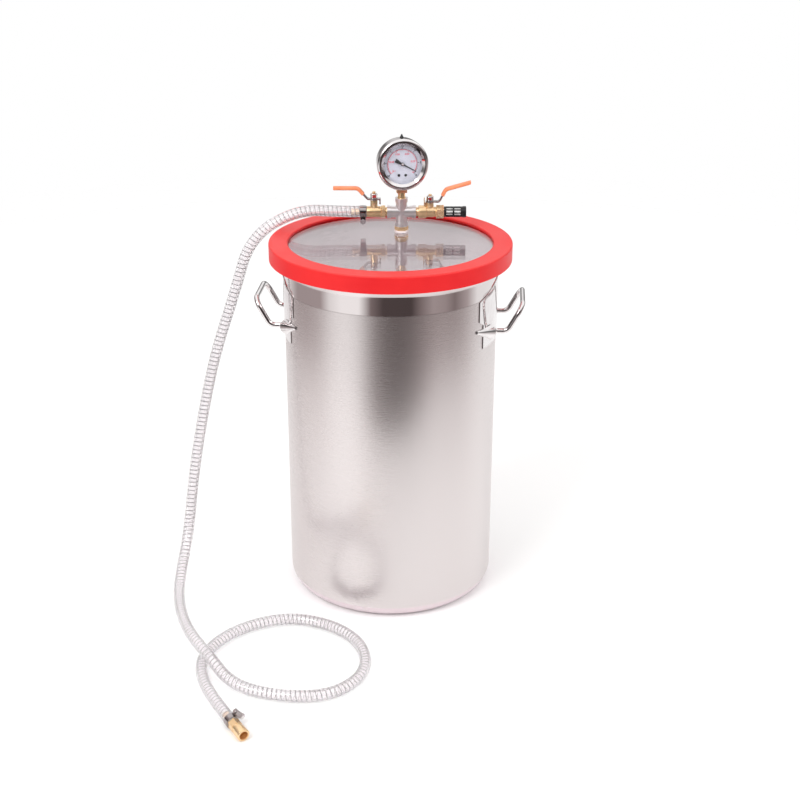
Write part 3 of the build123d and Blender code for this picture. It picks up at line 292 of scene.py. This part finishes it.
PRINT_BLACK = plastic("print_black", (0.03, 0.03, 0.04), (0.02, 0.02, 0.03), 0.5, 0.000001)
PRINT_RED = plastic("print_red", (0.75, 0.06, 0.10), (0.65, 0.04, 0.08), 0.5, 0.000001)
POINTER = plastic("pointer_black", (0.012, 0.012, 0.013), (0.008, 0.008, 0.009), 0.4)
LID_CLEAR = clear("clear_lid", (0.985, 0.97, 0.98), 1.66)
WINDOW_CLEAR = clear("window_clear", (0.97, 0.97, 0.99), 1.3)
HOSE_CLEAR = clear("hose_clear", (0.945, 0.92, 0.93), 1.45, 0.05, 0.0001, through=0.80)

SLOT_MATERIALS = {
    "pot": pot_steel(), "gasket": silicone(), "lid": LID_CLEAR, "handle_rod": STEEL_BRIGHT,
    "handle_plate": STEEL_BRIGHT, "turned_steel": BRASS, "brass": BRASS, "cast_brass": BRASS_CAST,
    "cast_steel": STEEL_CAST, "washer": WASHER, "muffler": BLACK_PLASTIC, "element": POROUS,
    "gauge_case": STEEL_BRIGHT, "window": WINDOW_CLEAR, "dial": DIAL, "pointer": POINTER,
    "plug": RUBBER_BLACK, "dark_steel": STEEL_DARK, "clamp": STEEL_BRIGHT, "ball": STEEL_BRIGHT,
    "seat": SEAT_WHITE, "lever_steel": STEEL_LEVER, "lever_nut": STEEL_NUT, "sleeve": ORANGE,
    "hose": HOSE_CLEAR,
}

WELD_DISTANCE = 0.01 * MM
SHARP_DEGREES = 35
NUT_ROUND = 1.5 * MM
EDGE_ROUND = 0.25 * MM
CLAMP_BANDS = ("top_clamp", "end_clamp")
ROUNDED_NUTS = ("left_valve_lever_nut", "right_valve_lever_nut")
ROUNDED_FITTINGS = (
    "bulkhead_fitting", "left_valve_body", "right_valve_body", "right_valve_end", "left_valve_end",
    "gauge_socket", "hose_end_fitting", "left_valve_lever_plate", "right_valve_lever_plate",
)


def soften(obj, width, segments):
    """Rounds a CAD piece's sharp edges for the render."""
    weld = obj.modifiers.new("weld", "WELD")
    weld.merge_threshold = WELD_DISTANCE
    bevel = obj.modifiers.new("bevel", "BEVEL")
    bevel.width = width
    bevel.segments = segments
    bevel.limit_method = "ANGLE"
    bevel.angle_limit = radians(SHARP_DEGREES)


def paint(obj, material):
    obj.data.materials.clear()
    obj.data.materials.append(material)


for entry in frame["record"]["subparts"]:
    paint(NODES[entry["node"]], SLOT_MATERIALS[entry["material_slot"]])
for name in CLAMP_BANDS:
    paint(NODES[name], STEEL_BAND)
for name in ROUNDED_NUTS:
    soften(NODES[name], NUT_ROUND, segments=4)
for name in ROUNDED_FITTINGS:
    soften(NODES[name], EDGE_ROUND, segments=2)


# ---------------------------------------------------------------- mesh helpers

def add_object(name, data):
    obj = bpy.data.objects.new(name, data)
    bpy.context.scene.collection.objects.link(obj)
    return obj


def piece(name, verts, faces, material, body="root", smooth=True):
    """A new piece that rides body. smooth is True, False, or the angle of its sharp edges."""
    mesh = bpy.data.meshes.new(name)
    mesh.from_pydata([tuple(v) for v in verts], [], faces)
    mesh.validate()
    mesh.update()
    obj = add_object(name, mesh)
    mesh.materials.append(material)
    if smooth:
        mesh.shade_smooth()
        if smooth is not True:
            mesh.set_sharp_from_angle(angle=radians(smooth))
    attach(obj, body)
    return obj


def lathe(profile, steps, place):
    """Verts and faces of a closed (radius, height) profile turned round place's Z."""
    verts = []
    count = len(profile)
    for step in range(steps):
        turn = 2 * pi * step / steps
        verts += [place @ Vector((r * cos(turn), r * sin(turn), h)) for r, h in profile]
    faces = []
    for step in range(steps):
        here, there = step * count, (step + 1) % steps * count
        for k in range(count):
            n = (k + 1) % count
            faces.append((here + k, here + n, there + n, there + k))
    return verts, faces


def line_frames(points):
    """(point, side, up) along a line, turned as little as possible from one to the next."""
    frames = []
    side = None
    for k, point in enumerate(points):
        before = points[max(k - 1, 0)]
        after = points[min(k + 1, len(points) - 1)]
        along = (after - before).normalized()
        if side is None:
            side = along.cross(Vector((0, 0, 1)))
            if side.length < 0.1:
                side = along.cross(Vector((0, 1, 0)))
        side = (side - along * side.dot(along)).normalized()
        frames.append((point, side, along.cross(side).normalized()))
    return frames


def beside(point, side, up, radius, turn):
    """The point at a radius from a line, turned round it."""
    return point + side * (radius * cos(turn)) + up * (radius * sin(turn))


def ring_verts(frames, radius, sides):
    return [beside(*at, radius, 2 * pi * k / sides) for at in frames for k in range(sides)]


def ring_faces(rings, sides, first=0, inward=False):
    """Quads between one ring of verts and the next."""
    faces = []
    for ring in range(rings - 1):
        a, b = first + ring * sides, first + (ring + 1) * sides
        for k in range(sides):
            n = (k + 1) % sides
            near, far = (n, k) if inward else (k, n)
            faces.append((a + near, a + far, b + far, b + near))
    return faces


def rod_mesh(points, radius, sides):
    """Verts and faces of a solid round rod along a line."""
    verts = ring_verts(line_frames(points), radius, sides)
    faces = ring_faces(len(points), sides)
    faces.append(tuple(reversed(range(sides))))
    faces.append(tuple(range((len(points) - 1) * sides, len(points) * sides)))
    return verts, faces


# ---------------------------------------------------------------- hose

HOSE_RADIUS = 8.0 * MM
HOSE_BORE = 5.0 * MM
HOSE_SIDES = 20
HOSE_STEP = 3 * MM
# The spline's points in millimetres: out of the valve, down, over the crossing, round the loop
# on the floor, and under the crossing to the end fitting
HOSE_POINTS = [
    (-34.2, 57, 546), (-68, 57, 546), (-133, 57, 549), (-201, 53, 509), (-226, 44, 427),
    (-257, 34, 338), (-279, 22, 242), (-295, 6, 152), (-304, -15, 68), (-312, -82, 22),
    (-302, -152, 23), (-279, -227, 29), (-245, -284, 28), (-208, -327, 8), (-142, -352, 8),
    (-76, -349, 8), (-33, -300, 8), (-36, -232, 8), (-79, -178, 8), (-147, -155, 8),
    (-217, -187, 8), (-257, -248, 8), (-253, -306, 8), (-228, -362, 8.95), (-199, -410, 8.95),
]
HELIX_RADIUS = 7.1 * MM
HELIX_PITCH = 6.3 * MM
HELIX_STEPS = 14
WIRE_RADIUS = 0.5 * MM
WIRE_SIDES = 6


def route_line():
    """The points of the hose's middle, as Blender draws the spline."""
    curve = bpy.data.curves.new("hose_route", "CURVE")
    curve.dimensions = "3D"
    spline = curve.splines.new("NURBS")
    spline.points.add(len(HOSE_POINTS) - 1)
    for point, place in zip(spline.points, HOSE_POINTS):
        point.co = (*[c * MM for c in place], 1.0)
    # after the points, because Blender holds the order to the number of points
    spline.order_u = 3
    spline.use_endpoint_u = True
    curve.resolution_u = 24
    mesh = bpy.data.meshes.new_from_object(bpy.data.objects.new("hose_route", curve))
    return [v.co.copy() for v in mesh.vertices]


def resampled(points, step):
    """The same line with points an equal way apart, and its length."""
    lengths = [0.0]
    for a, b in zip(points, points[1:]):
        lengths.append(lengths[-1] + (b - a).length)
    count = max(2, round(lengths[-1] / step))
    result = []
    k = 0
    for n in range(count + 1):
        target = lengths[-1] * n / count
        while k < len(points) - 2 and lengths[k + 1] < target:
            k += 1
        share = (target - lengths[k]) / (lengths[k + 1] - lengths[k])
        result.append(points[k].lerp(points[k + 1], share))
    return result, lengths[-1]


def hose_mesh(frames):
    """Verts and faces of a tube with a wall: the outside, the bore and a rim at each end."""
    verts = ring_verts(frames, HOSE_RADIUS, HOSE_SIDES) + ring_verts(frames, HOSE_BORE, HOSE_SIDES)
    inner = len(frames) * HOSE_SIDES
    end = inner - HOSE_SIDES
    faces = ring_faces(len(frames), HOSE_SIDES)
    faces += ring_faces(len(frames), HOSE_SIDES, first=inner, inward=True)
    for k in range(HOSE_SIDES):
        n = (k + 1) % HOSE_SIDES
        faces.append((k, inner + k, inner + n, n))
        faces.append((end + n, inner + end + n, inner + end + k, end + k))
    return verts, faces


def helix_line(frames, length):
    """The wire's middle, wound round the hose's."""
    turns = length / HELIX_PITCH
    count = int(turns * HELIX_STEPS)
    path = []
    for n in range(count + 1):
        place = n / count * (len(frames) - 1)
        k = min(int(place), len(frames) - 2)
        point, side, up = [a.lerp(b, place - k) for a, b in zip(frames[k], frames[k + 1])]
        turn = 2 * pi * turns * n / count
        path.append(beside(point, side.normalized(), up.normalized(), HELIX_RADIUS, turn))
    return path


def hose_pieces():
    line, length = resampled(route_line(), HOSE_STEP)
    frames = line_frames(line)
    tube = piece("hose_tube", *hose_mesh(frames), HOSE_CLEAR)
    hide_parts("hose")
    tube.visible_shadow = False
    wire_mesh = rod_mesh(helix_line(frames, length), WIRE_RADIUS, WIRE_SIDES)
    wire = piece("hose_wire_helix", *wire_mesh, WIRE)


hose_pieces()


# ---------------------------------------------------------------- gauge

GAUGE_CENTRE = Vector((15.5, 57.0, 616.0)) * MM
GAUGE_YAW = 9
GAUGE_PLACE = (Matrix.Translation(GAUGE_CENTRE) @ Matrix.Rotation(radians(GAUGE_YAW), 4, "Z")
               @ Matrix.Rotation(radians(90), 4, "X"))
DIAL_FACE = 5.3 * MM
PRINT_DEPTH = 0.05 * MM
ZERO_ANGLE = -40.0
SCALE_SWEEP = 260.0
ARC_STEPS = 120
# (inner radius, outer radius, width) in millimetres of every tenth, every fifth and the other
# ticks
BLACK_TICKS = ((21.4, 24.0, 0.7), (21.4, 23.2, 0.4), (21.4, 22.7, 0.4))
RED_TICKS = ((17.9, 20.4, 0.6), (18.9, 20.4, 0.35), (19.5, 20.4, 0.35))
# A block's faces, from its back corners 0 to 3 and its front corners 4 to 7
BLOCK_SIDES = ((4, 5, 6, 7), (3, 2, 1, 0), (0, 1, 5, 4), (1, 2, 6, 5), (2, 3, 7, 6), (3, 0, 4, 7))
# (radius, height) in millimetres, from the gauge's centre forward
HUB_PROFILE = [(0.0, 8.25), (1.6, 8.25), (1.7, 8.5), (1.2, 8.75), (0.0, 8.8)]


def spot(radius, angle, height=0.0):
    """A place over the dial, before the gauge's own place; the angle in degrees."""
    turn = radians(angle)
    return Vector((radius * cos(turn), radius * sin(turn), height))


def scale_angle(share):
    return ZERO_ANGLE + SCALE_SWEEP * share


def print_piece(name, verts, faces, material):
    obj = piece(name, [GAUGE_PLACE @ v for v in verts], faces, material, smooth=False)


def tick_marks(name, count, sizes, material):
    """The scale's ticks as one thin raised print."""
    verts, faces = [], []
    for k in range(count + 1):
        inner, outer, width = sizes[0 if k % 10 == 0 else 1 if k % 5 == 0 else 2]
        base = len(verts)
        for height in (DIAL_FACE, DIAL_FACE + PRINT_DEPTH):
            for radius, side in ((inner, -1), (outer, -1), (outer, 1), (inner, 1)):
                half = side * width / 2 / radius * 180 / pi
                verts.append(spot(radius * MM, scale_angle(k / count) + half, height))
        faces += [tuple(base + corner for corner in side) for side in BLOCK_SIDES]
    print_piece(name, verts, faces, material)


def arc_mark(name, radius, width, material):
    """A thin raised line along the whole scale."""
    verts = []
    low, high = radius - width / 2, radius + width / 2
    for step in range(ARC_STEPS + 1):
        for r, height in ((low, 0.0), (high, 0.0), (high, PRINT_DEPTH), (low, PRINT_DEPTH)):
            verts.append(spot(r * MM, scale_angle(step / ARC_STEPS), DIAL_FACE + height))
    faces = [(4 * step + k, 4 * step + 4 + k, 4 * step + 4 + (k + 1) % 4, 4 * step + (k + 1) % 4)
             for step in range(ARC_STEPS) for k in range(4)]
    last = 4 * ARC_STEPS
    faces += [(0, 1, 2, 3), (last + 3, last + 2, last + 1, last)]
    print_piece(name, verts, faces, material)


def numerals(name, texts, radius, size, bold, material):
    """The dial's numbers, upright, each centred at its angle."""
    verts, faces = [], []
    for text, angle in texts:
        curve = bpy.data.curves.new("numeral", "FONT")
        curve.body = text
        curve.size = size * MM
        curve.align_x = "CENTER"
        curve.align_y = "CENTER"
        curve.extrude = PRINT_DEPTH / 2
        curve.offset = bold * MM
        curve.resolution_u = 3
        holder = bpy.data.objects.new("numeral", curve)
        mesh = bpy.data.meshes.new_from_object(holder)
        shift = spot(radius * MM, angle, DIAL_FACE + PRINT_DEPTH / 2)
        base = len(verts)
        verts += [v.co + shift for v in mesh.vertices]
        faces += [tuple(base + k for k in p.vertices) for p in mesh.polygons]
        bpy.data.objects.remove(holder)
    print_piece(name, verts, faces, material)


def dial_print():
    """A plain double scale: 0 to 30 outside in black, 0.02 to 0.1 inside in red."""
    tick_marks("dial_ticks_black", 60, BLACK_TICKS, PRINT_BLACK)
    tick_marks("dial_ticks_red", 50, RED_TICKS, PRINT_RED)
    arc_mark("dial_arc_red", 20.6, width=0.6, material=PRINT_RED)
    arc_mark("dial_arc_black", 21.2, width=0.25, material=PRINT_BLACK)
    outer = [(str(5 * k), scale_angle(k / 6)) for k in range(7)]
    inner = [(f"{0.02 * k:.2f}".rstrip("0"), scale_angle(k / 5)) for k in range(1, 6)]
    numerals("dial_numbers_black", outer, radius=25.9, size=3.9, bold=0.16, material=PRINT_BLACK)
    numerals("dial_numbers_red", inner, radius=15.3, size=3.7, bold=0.08, material=PRINT_RED)


dial_print()
hub_mesh = lathe([(r * MM, h * MM) for r, h in HUB_PROFILE], steps=32, place=GAUGE_PLACE)
piece("pointer_hub_cap", *hub_mesh, STEEL_NUT, "gauge_pointer", smooth=30)


# ---------------------------------------------------------------- studio

FLOOR_FRONT, FLOOR_BACK, FLOOR_SIDE = -0.80, 6.0, 6.0
# How much of the floor glossy rays look past: (distance from the pot's middle, share)
FLOOR_FADE = [(0.20, 0.10), (0.60, 0.24), (0.95, 0.42), (1.12, 0.72), (1.30, 1.0)]
FLOOR_FADE_REACH = 1.5
FLOOR_END = 2.6

# Reflected studio: (azimuth from the front towards +X in degrees, brightness)
SURROUND = [
    (-180, 1.02), (-140, 0.88), (-118, 0.44), (-80, 0.46), (-68, 0.95), (-54, 1.15), (-34, 1.15),
    (-21, 0.24), (-8, 0.09), (22, 0.085), (32, 0.24), (46, 0.44), (60, 0.40), (72, 0.26),
    (90, 0.50), (106, 1.0), (180, 1.02),
]
# The darker a direction, the warmer it is: this share of its green and blue goes with the light
SURROUND_WARMTH = 0.25
# The same studio by height: (the ray's rise, brightness)
HEIGHTS = [
    (-1.0, 1.0), (-0.24, 1.0), (-0.10, 0.50), (0.0, 0.22), (0.17, 0.18), (0.32, 1.0), (0.55, 1.0),
    (1.0, 1.0),
]
CEILING_LOW, CEILING_HIGH = 0.45, 0.72
CEILING_TONE = (1.15, 1.15, 1.15)
SOFT_TONE = (1.0, 0.99, 0.985, 1.0)
SOFT_STRENGTH = 0.98

LIGHT_TARGET = Vector((0, 0, 0.3))
CAMERA_PLACE = (0, -1.8831, 1.0692)
CAMERA_PITCH, CAMERA_YAW, CAMERA_ROLL = 22.758, 0.417, 0.157
CAMERA_LENS = 62.97


def floor():
    """A white floor that fades away far off, and for what the steel mirrors."""
    mesh = bpy.data.meshes.new("floor")
    corners = [(-FLOOR_SIDE, FLOOR_FRONT, 0), (FLOOR_SIDE, FLOOR_FRONT, 0),
               (FLOOR_SIDE, FLOOR_BACK, 0), (-FLOOR_SIDE, FLOOR_BACK, 0)]
    mesh.from_pydata(corners, [], [(0, 1, 2, 3)])
    obj = add_object("floor", mesh)
    s = Shader("floor_white", (0.98, 0.98, 0.98), Roughness=0.6, Specular_IOR_Level=0.0)
    darker, lighter = (0.975, 0.975, 0.975), (0.985, 0.985, 0.985)
    s.to("Base Color", s.mix(s.span(s.noise(3.0), 0.3, 0.7), darker, lighter))
    # the pot mirrors only the floor near it, and the studio beyond
    away = s.length(s.nodes.new("ShaderNodeNewGeometry").outputs["Position"])
    reach = s.span(away, 0.0, FLOOR_FADE_REACH)
    far = s.ramp(reach, [(distance / FLOOR_FADE_REACH, share) for distance, share in FLOOR_FADE])
    end = s.span(away, FLOOR_FADE_REACH, FLOOR_END, smooth=True)
    rays = s.nodes.new("ShaderNodeLightPath").outputs
    hidden = s.math("ADD", s.math("MULTIPLY", far, rays["Is Glossy Ray"]),
                    s.math("MULTIPLY", end, rays["Is Camera Ray"]))
    nothing = s.nodes.new("ShaderNodeBsdfTransparent").outputs[0]
    surface = s.mix_shader(hidden, s.bsdf.outputs[0], nothing)
    s.feed(s.nodes["Material Output"].inputs["Surface"], surface)
    mesh.materials.append(s.material)


def world():
    """White to the camera and through clear parts, soft light, and a studio in reflections."""
    scene_world = bpy.data.worlds.new("studio")
    bpy.context.scene.world = scene_world
    scene_world.use_nodes = True
    w = Tree(scene_world.node_tree)
    w.nodes.clear()
    axes = w.axes("Generated")
    # the angle from the front (-Y) towards +X
    turn = w.math("ARCTAN2", axes["X"], w.math("MULTIPLY", axes["Y"], -1.0))
    stops = []
    for azimuth, level in SURROUND:
        fainter = level * (1.0 - SURROUND_WARMTH * max(0.0, 1 - level))
        stops.append(((azimuth + 180) / 360, (level, fainter, fainter)))
    around = w.ramp(w.span(turn, -pi, pi), stops)
    by_height = w.ramp(w.span(axes["Z"], -1.0, 1.0),
                       [((rise + 1) / 2, level) for rise, level in HEIGHTS])
    walls = w.mix(1.0, around, by_height, blend="MULTIPLY")
    ceiling = w.span(axes["Z"], CEILING_LOW, CEILING_HIGH, smooth=True)
    studio = w.mix(ceiling, walls, CEILING_TONE)
    mirrored = w.node("ShaderNodeBackground", Color=studio, Strength=1.0)
    plain = w.node("ShaderNodeBackground", Color=(1, 1, 1, 1), Strength=1.0)
    soft = w.node("ShaderNodeBackground", Color=SOFT_TONE, Strength=SOFT_STRENGTH)
    rays = w.nodes.new("ShaderNodeLightPath").outputs
    seen = w.math("MAXIMUM", rays["Is Camera Ray"], rays["Is Transmission Ray"])
    lit = w.mix_shader(rays["Is Glossy Ray"], soft.outputs[0], mirrored.outputs[0])
    surface = w.mix_shader(seen, lit, plain.outputs[0])
    w.node("ShaderNodeOutputWorld", Surface=surface)


def area_light(name, place, size, power, glossy):
    light = bpy.data.lights.new(name, "AREA")
    light.shape = "RECTANGLE"
    light.size = light.size_y = size
    light.energy = power
    obj = add_object(name, light)
    obj.location = place
    obj.rotation_euler = (LIGHT_TARGET - Vector(place)).to_track_quat("-Z", "Y").to_euler()
    obj.visible_glossy = glossy
    obj.visible_camera = False


def camera():
    data = bpy.data.cameras.new("camera")
    data.sensor_width = 36.0
    data.lens = CAMERA_LENS
    data.clip_start = 0.05
    obj = add_object("camera", data)
    turn = (Matrix.Rotation(-radians(CAMERA_YAW), 4, "Z")
            @ Matrix.Rotation(pi / 2 - radians(CAMERA_PITCH), 4, "X")
            @ Matrix.Rotation(radians(CAMERA_ROLL), 4, "Z"))
    obj.matrix_world = Matrix.Translation(CAMERA_PLACE) @ turn
    bpy.context.scene.camera = obj


floor()
world()
area_light("key_light", (-1.3, -1.6, 2.1), size=1.3, power=26.0, glossy=True)
area_light("fill_light", (1.6, -0.9, 1.7), size=1.2, power=9.0, glossy=False)
camera()
bpy.context.scene.view_settings.view_transform = "Standard"

NODES["lid"].visible_shadow = False
NODES["gauge_window"].visible_shadow = False
